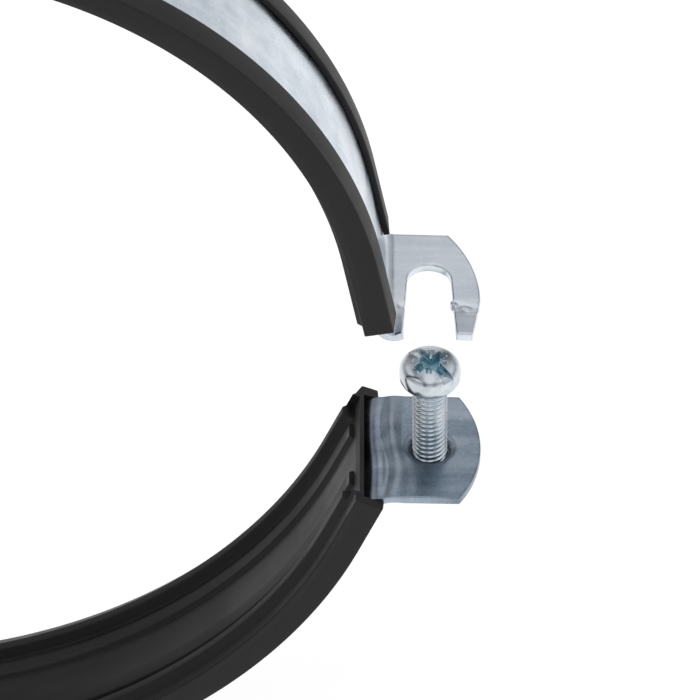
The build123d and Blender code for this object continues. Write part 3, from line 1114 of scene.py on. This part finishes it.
def lining_piece(name, band, lining, above, end_height):
    """A half's lining with full lips."""
    turn = lead_angle(band, above)
    outline = outline_object(name, lining_section(band, lining))
    tree = bpy.data.node_groups.get("Lining course") or lining_tree()
    values = {
        "Radius": band.middle_radius,
        "Middle Angle": above * pi / 2,
        "Half Turn": pi / 2 + above * turn,
        "Lead": lead_length(band, above, end_height),
        "Steps": lining.steps,
    }
    return run_tree(outline, tree, values)


def end_cutter(name, band, lead, low, high, width, setback):
    """Blocks over the last stretch of the lower lining at both ends, between two radii."""
    reach = 12 * MM
    bm = bmesh.new()
    for turn in (0.0, pi):
        place = Matrix.Rotation(turn, 4, "Z") @ Matrix.Rotation(band.lower_lead, 4, "Y")
        middle = Matrix.Translation(((low + high) / 2, 0, lead - setback + reach / 2))
        add_block(bm, (high - low, width, reach), place @ middle)
    return object_from(name, bm)


# ---------------------------------------------------------------- screws and nut


def head_section(screw):
    """Half section of head and shank from the crown down to the tip, as (radius, height) points."""
    core = screw.crest_radius - screw.thread_depth
    plain = core + 0.3 * MM
    total = screw.shank
    wall, top = screw.head_wall, screw.head_height
    rim, rim_height = screw.head_radius * 0.84, wall + 0.42 * MM
    crown = [(rim * i / 10, top - (top - rim_height) * (i / 10) ** 2.2) for i in range(11)]
    shoulder = [
        (screw.head_radius - 0.42 * MM, wall + 0.08 * MM),
        (screw.head_radius - 0.17 * MM, wall - 0.35 * MM),
        (screw.head_radius - 0.04 * MM, wall - 0.85 * MM),
        (screw.head_radius, wall - 1.5 * MM),
        (screw.head_radius - 0.06 * MM, 0.75 * MM),
        (screw.head_radius - 0.30 * MM, 0.25 * MM),
        (screw.head_radius - 0.75 * MM, 0.0),
    ]
    shank = [
        (plain + 0.35 * MM, 0.0),
        (plain + 0.08 * MM, -0.12 * MM),
        (plain, -0.4 * MM),
        (plain, -screw.plain_shank + 0.2 * MM),
        (core, -screw.plain_shank - 0.1 * MM),
        (core, 0.55 * MM - total),
        (core - 0.35 * MM, 0.12 * MM - total),
        (core - 0.6 * MM, -total),
        (0.0, -total),
    ]
    return crown + shoulder + shank


def drive_cutter(screw, seat):
    """Cutters for the head's slot, for the narrowing wings of the cross and for the flutes between them."""
    crown = seat + Vector((0, 0, screw.head_height))
    top = Matrix.Translation(crown) @ Matrix.Rotation(screw.drive_turn, 4, "Z")
    slot = (3 * screw.head_radius, screw.slot_width, 2 * screw.slot_depth)
    wing = (screw.cross_span, screw.cross_width, 2 * screw.cross_depth)
    whole, quarter = Matrix.Identity(4), Matrix.Rotation(pi / 2, 4, "Z")
    reach = Matrix.Translation(FLUTE_PLACE)
    flutes = [Matrix.Rotation(pi / 4 + i * pi / 2, 4, "Z") @ reach for i in range(4)]
    cutters = []
    for name, size, taper, turns in (
        ("slot_cutter", slot, SLOT_TAPER, [whole]),
        ("wing_cutter", wing, WING_TAPER, [whole]),
        ("wing_cutter", wing, WING_TAPER, [quarter]),
        ("flute_cutter", FLUTE_SIZE, FLUTE_TAPER, flutes),
    ):
        bm = bmesh.new()
        for turn in turns:
            add_block(bm, size, top @ turn, taper)
        cutters.append(object_from(name, bm))
    return cutters


def thread_ridge(name, screw, seat):
    """The thread's ridge along the shank, as its own object."""
    core = screw.crest_radius - screw.thread_depth
    depth, pitch = screw.thread_depth, screw.pitch
    half = [
        (-0.12 * MM, 0.40 * pitch),
        (0.0, 0.40 * pitch),
        (depth * 0.9, 0.115 * pitch),
        (depth, 0.055 * pitch),
    ]
    outline = [(x, -y) for x, y in half] + half[::-1]
    total = screw.shank
    values = {
        "Radius": core,
        "Pitch": pitch,
        "Turns": (total - screw.plain_shank - 0.9 * MM) / pitch,
        "Turn Points": screw.turn_points,
        "Top": -screw.plain_shank,
    }
    tree = bpy.data.node_groups.get("Thread course") or thread_tree()
    ridge = run_tree(outline_object(name, outline), tree, values)
    ridge.data.transform(Matrix.Translation(seat))
    return ridge


def screw_piece(name, screw, seat):
    """A whole screw: turned head and shank, cut drive and swept thread."""
    bm = bmesh.new()
    add_turned(bm, head_section(screw), 96, seat)
    body = object_from(name, merged(bm))
    for cutter in drive_cutter(screw, seat):
        body = cut(body, cutter)
    add_bevel(body, SCREW_EDGE, segments=2, limit=38)
    body = baked(body, 35)
    ridge = thread_ridge(name + "_thread", screw, seat)
    return joined(body, ridge)


def joined(piece, other):
    """Put two meshes into one piece."""
    bm = bmesh.new()
    bm.from_mesh(piece.data)
    bm.from_mesh(other.data)
    bm.to_mesh(piece.data)
    bm.free()
    bpy.data.objects.remove(other)
    return piece


def nut_ring(radius_of, height_of, count=96):
    """A ring of points round the nut whose radius and height depend on the direction."""
    ring = []
    for i in range(count):
        turn = 2 * pi * i / count
        radius = radius_of(turn)
        ring.append((radius * cos(turn), radius * sin(turn), height_of(radius * cos(turn))))
    return ring


def nut_piece(name, band):
    """Hexagonal nut with turned corners below, its upper end shaped to the band, and a threaded bore."""
    flats = (NUT_HIGH.y - NUT_LOW.y) / 2
    foot = NUT_LOW.z
    outer = band.middle_radius + band.thickness / 2 + WELD_GAP

    def hexagon(turn):
        return flats / cos((turn + pi / 6 + pi / 2) % (pi / 3) - pi / 6)

    def band_height(x):
        return -sqrt(outer ** 2 - x ** 2)

    bore, mouth = BORE_RADIUS, NUT_MOUTH
    turned = flats * 0.97
    cornered = turned + 0.4 * (hexagon(0.0) - turned)
    rows = [
        nut_ring(lambda turn: turned - 0.25 * MM, lambda x: foot),
        nut_ring(lambda turn: min(turned, hexagon(turn)), lambda x: foot + 0.04 * MM),
        nut_ring(lambda turn: min(hexagon(turn), cornered), lambda x: foot + 0.32 * MM),
        nut_ring(hexagon, lambda x: foot + 0.9 * MM),
        nut_ring(hexagon, lambda x: foot + 6 * MM),
        nut_ring(hexagon, lambda x: band_height(x) - 0.15 * MM),
        nut_ring(lambda turn: hexagon(turn) - 0.15 * MM, band_height),
        nut_ring(lambda turn: bore, band_height),
    ]
    turns = int((band_height(bore) - foot - mouth - 1 * MM) / NUT_PITCH)
    steps = turns * 8
    level, bottom = band_height(0.0) - 0.6 * MM, foot + mouth
    for i in range(steps + 1):
        share = i / steps

        def threaded(turn, share=share):
            phase = (share * turns + turn / (2 * pi)) % 1.0
            return bore + NUT_THREAD * (1 - abs(2 * phase - 1))

        rows.append(nut_ring(threaded, lambda x, share=share: level + (bottom - level) * share))
    rows.append(nut_ring(lambda turn: bore + mouth * 0.9, lambda x: foot + 0.05 * MM))
    bm = bmesh.new()
    add_rows(bm, rows + [rows[0]], closed=True)
    piece = object_from(name, merged(bm))
    smooth(piece, 30)
    return piece


# ---------------------------------------------------------------- stage


def add_light(name, place, aim, size, power):
    """A soft square lamp that looks at aim."""
    lamp = bpy.data.lights.new(name, "AREA")
    lamp.shape, lamp.size, lamp.energy = "SQUARE", size, power
    body = bpy.data.objects.new(name, lamp)
    body.location = place
    body.rotation_euler = (Vector(aim) - Vector(place)).to_track_quat("-Z", "Y").to_euler()
    body.visible_camera = body.visible_glossy = False
    bpy.context.scene.collection.objects.link(body)


def seen_mask(tree):
    """Masks of what the camera sees directly or through glass, and of what is seen in a reflection."""
    path = tree.nodes.new("ShaderNodeLightPath")
    seen = maths(tree, "MAXIMUM", path.outputs["Is Camera Ray"], path.outputs["Is Transmission Ray"])
    return seen, path.outputs["Is Glossy Ray"]


def floor_material():
    """Pale floor that reads as white to the camera and keeps a soft shadow."""
    material, tree, surface = new_material("pale_floor")
    surface.inputs["Roughness"].default_value = 0.9
    surface.inputs["Specular IOR Level"].default_value = 0.0
    place = tree.nodes.new("ShaderNodeTexCoord").outputs["Object"]
    grain = cloud(tree, place, 6.0, 3.0)
    tones = mixed(tree, ranged(tree, grain, 0.3, 0.7), (0.90, 0.90, 0.90, 1), (0.93, 0.93, 0.93, 1))
    connect(tree, surface, "Base Color", tones)
    white = put(tree, "ShaderNodeEmission", Color=(1, 1, 1, 1), Strength=1.0)
    seen, glossy = seen_mask(tree)
    share = times(tree, maths(tree, "MAXIMUM", seen, glossy), 0.72)
    mix = put(tree, "ShaderNodeMixShader", **{"0": share, "1": surface.outputs[0], "2": white.outputs[0]})
    tree.links.new(mix.outputs[0], tree.nodes["Material Output"].inputs["Surface"])
    return material


def add_tones(ramp, tones, blue=1.0):
    """Add grey stops to a colour ramp, with their blue part scaled."""
    for position, tone in tones:
        ramp.elements.new(position).color = (tone, tone, tone * blue, 1)


def make_world(level):
    """White behind the object, an even light on it, and a graded sky for reflections."""
    world = bpy.data.worlds.new("studio")
    bpy.context.scene.world = world
    world.use_nodes = True
    tree = world.node_tree
    background = tree.nodes["Background"]
    direction = tree.nodes.new("ShaderNodeTexCoord").outputs["Generated"]
    parts = put(tree, "ShaderNodeSeparateXYZ", Vector=direction)
    sky = put(tree, "ShaderNodeValToRGB", Fac=ranged(tree, parts.outputs["Z"], -1.0, 1.0))
    ramp = sky.color_ramp
    ramp.elements[0].position, ramp.elements[0].color = 0.45, (0.95, 0.95, 0.95, 1)
    ramp.elements[1].position, ramp.elements[1].color = 1.0, (1.0, 1.0, 1.0, 1)
    add_tones(ramp, SKY_TONES, 1.02)
    flags = put(tree, "ShaderNodeValToRGB", Fac=ranged(tree, parts.outputs["X"], -1.0, 1.0))
    flags.color_ramp.elements[0].color = (0.7, 0.7, 0.7, 1)
    add_tones(flags.color_ramp, FLAG_TONES)
    flagged = vector_maths(tree, "MULTIPLY", sky.outputs[0], flags.outputs[0])
    seen, glossy = seen_mask(tree)
    tones = mixed(tree, glossy, (1, 1, 1, 1), flagged)
    connect(tree, background, "Color", tones)
    unseen = minus(tree, 1.0, maths(tree, "MAXIMUM", seen, glossy))
    strength = minus(tree, 1.0, times(tree, unseen, 1.0 - level))
    connect(tree, background, "Strength", strength)


# ---------------------------------------------------------------- operators


class CLAMP_OT_lower_band(Operator):
    """Build the fixed lower half of the band with its two threaded ears"""

    bl_idname = "clamp.lower_band"
    bl_label = "Lower band"

    def execute(self, context):
        band, sizes, finish = context.scene.clamp_band, context.scene.clamp_ear, context.scene.clamp_finish
        ear = Ear(SCREW_PLACE, band.lower_ear_height, band.lower_ear_droop)
        bm = bmesh.new()
        add_strip(bm, band, half_course(band, ear, ear, BELOW), BELOW)
        add_threaded_ear(bm, band, sizes, ear, BELOW, 1)
        add_threaded_ear(bm, band, sizes, ear, BELOW, -1)
        piece = sheet_piece("lower_half_band", bm, band)
        # Darker, bluer plating tones: painted shade for the lower half's darker reflection.
        zinc = zinc_material(
            "zinc_lower_band", finish.lower_zinc_light_painted_shade, finish.lower_zinc_dark_painted_shade, Smudge=0.5, Streak_Share=0.5)
        fitted(piece, "lower_half", "zinc_band", zinc, "lower_band")
        return {"FINISHED"}


class CLAMP_OT_upper_band(Operator):
    """Build the moving upper half of the band with its hook ear and its pivot ear"""

    bl_idname = "clamp.upper_band"
    bl_label = "Upper band"

    def execute(self, context):
        band, sizes, finish = context.scene.clamp_band, context.scene.clamp_ear, context.scene.clamp_finish
        hook = Ear(SCREW_PLACE + band.hook_shift, PIVOT.z, band.hook_droop)
        far = Ear(SCREW_PLACE, PIVOT.z, 0.0)
        bm = bmesh.new()
        add_strip(bm, band, half_course(band, hook, far, ABOVE), ABOVE)
        add_hook_ear(bm, band, sizes, hook, ABOVE)
        add_pivot_ear(bm, band, sizes, far, ABOVE, -1)
        piece = sheet_piece("upper_half_band", bm, band)
        piece.data.transform(opened_matrix(band))
        # Lighter plating tones: painted light for the upper half's brighter reflection.
        zinc = zinc_material(
            "zinc_upper_band", finish.upper_zinc_light_painted_lit, finish.upper_zinc_dark_painted_lit, Smudge=0.45, Streak_Share=0.6)
        fitted(piece, "upper_half", "zinc_band", zinc, "upper_band")
        return {"FINISHED"}


class CLAMP_OT_linings(Operator):
    """Build the two ribbed rubber linings"""

    bl_idname = "clamp.linings"
    bl_label = "Rubber linings"

    def execute(self, context):
        scene = context.scene
        band, lining, finish = scene.clamp_band, scene.clamp_lining, scene.clamp_finish
        lower_end = band.lower_ear_height + band.thickness / 2
        lower = lining_piece("lower_half_lining", band, lining, BELOW, lower_end)
        lead = lead_length(band, BELOW, lower_end)
        lip_width = BAND_HIGH.y - BAND_LOW.y + 2 * lining.gap + 0.1 * MM
        lip_low = band.middle_radius + 0.15 * MM
        lips = end_cutter("lip_cutter", band, lead, lip_low, lip_low + 8 * MM, lip_width, lining.lip_setback)
        rib_width = 2 * lining.outer_rib_place + lining.outer_rib_base + 0.1 * MM
        valley = PIPE_RADIUS + lining.rib_height + lining.valley_depth
        ribs = end_cutter("rib_cutter", band, lead, valley - 4 * MM, valley, rib_width, lining.rib_setback)
        lower = cut(cut(lower, lips), ribs)
        rubber = rubber_material("rubber_lower_lining", finish, (0.0, 0.0, 0.0))
        fitted(lower, "lower_half", "rubber_lining", rubber, "lower_lining")
        upper = lining_piece("upper_half_lining", band, lining, ABOVE, PIVOT.z + lining.upper_lift)
        opened = opened_matrix(band)
        upper.data.transform(opened)
        rubber = rubber_material("rubber_upper_lining", finish, tuple(opened @ Vector((0, 0, 0))))
        fitted(upper, "upper_half", "rubber_lining", rubber, "upper_lining")
        return {"FINISHED"}


class CLAMP_OT_screws(Operator):
    """Build the closing screw and the pivot screw"""

    bl_idname = "clamp.screws"
    bl_label = "Screws"

    def execute(self, context):
        screw, finish = context.scene.clamp_screw, context.scene.clamp_finish
        places = (
            ("closing_bolt", "closing", "closing_screw", CLOSING_LOW, CLOSING_HIGH),
            ("pivot_bolt", "pivot", "pivot_screw", PIVOT_LOW, PIVOT_HIGH),
        )
        for name, body, node, low, high in places:
            seat = Vector(((low.x + high.x) / 2, (low.y + high.y) / 2, low.z + screw.shank))
            piece = screw_piece(name, screw, seat)
            zinc = zinc_material(
                "zinc_" + name, finish.screw_light, finish.screw_dark, bump=0.04, rough_shift=-0.1,
                Cloud_Scale=320.0, Streak_Scale=700.0, Smudge=0.15,
            )
            crown = seat.z + screw.head_height
            tint_recess(zinc, finish.recess_tint, SCREW_PLACE, screw.cross_span / 2, crown)
            fitted(piece, body, "zinc_screw", zinc, node)
        return {"FINISHED"}


class CLAMP_OT_nut(Operator):
    """Build the hexagonal connection nut"""

    bl_idname = "clamp.nut"
    bl_label = "Connection nut"

    def execute(self, context):
        finish = context.scene.clamp_finish
        piece = nut_piece("rod_nut", context.scene.clamp_band)
        zinc = zinc_material("zinc_nut", finish.nut_light, finish.nut_dark, Cloud_Scale=160.0, Smudge=0.3)
        fitted(piece, "lower_half", "zinc_nut", zinc, "connection_nut")
        return {"FINISHED"}


class CLAMP_OT_stage(Operator):
    """Set up floor, soft lamps, world and camera"""

    bl_idname = "clamp.stage"
    bl_label = "Studio stage"

    def execute(self, context):
        stage = context.scene.clamp_stage
        bm = bmesh.new()
        bmesh.ops.create_grid(bm, x_segments=4, y_segments=4, size=12.0)
        bmesh.ops.translate(bm, vec=(0, 0, NUT_LOW.z - 0.05 * MM), verts=bm.verts)
        floor = object_from("studio_floor", bm)
        floor.data.materials.append(floor_material())
        make_world(stage.world_level)
        aim = (stage.aim_x * 0.5, 0, 0)
        for name, place, size, power in LAMPS:
            add_light(name, place, aim, size, getattr(stage, power))
        camera = bpy.data.cameras.new("camera")
        camera.lens = camera.sensor_width * stage.distance / stage.view_width
        camera.clip_start, camera.clip_end = 0.1, 100
        body = bpy.data.objects.new("camera", camera)
        context.scene.collection.objects.link(body)
        back = Vector((0, -cos(stage.elevation), sin(stage.elevation)))
        body.location = Vector((stage.aim_x, 0, stage.aim_z)) + back * stage.distance
        body.rotation_euler = (pi / 2 - stage.elevation, 0, 0)
        context.scene.camera = body
        context.scene.view_settings.view_transform = "Standard"
        return {"FINISHED"}


OPERATORS = (
    CLAMP_OT_lower_band, CLAMP_OT_upper_band, CLAMP_OT_linings, CLAMP_OT_screws, CLAMP_OT_nut, CLAMP_OT_stage,
)


class CLAMP_PT_panel(Panel):
    """Buttons for every group of pieces"""

    bl_idname = "CLAMP_PT_panel"
    bl_label = "Pipe clamp"
    bl_space_type = "VIEW_3D"
    bl_region_type = "UI"
    bl_category = "Pipe clamp"

    def draw(self, context):
        for operator in OPERATORS:
            self.layout.operator(operator.bl_idname)


def register():
    for group in GROUPS.values():
        bpy.utils.register_class(group)
    for name, group in GROUPS.items():
        setattr(bpy.types.Scene, name, PointerProperty(type=group))
    for operator in (*OPERATORS, CLAMP_PT_panel):
        bpy.utils.register_class(operator)


def unregister():
    for operator in (CLAMP_PT_panel, *reversed(OPERATORS)):
        bpy.utils.unregister_class(operator)
    for name in GROUPS:
        delattr(bpy.types.Scene, name)
    for group in GROUPS.values():
        bpy.utils.unregister_class(group)


def main():
    """Build the whole clamp."""
    register()
    for operator in OPERATORS:
        group, name = operator.bl_idname.split(".")
        getattr(getattr(bpy.ops, group), name)()


if __name__ == "__main__":
    main()
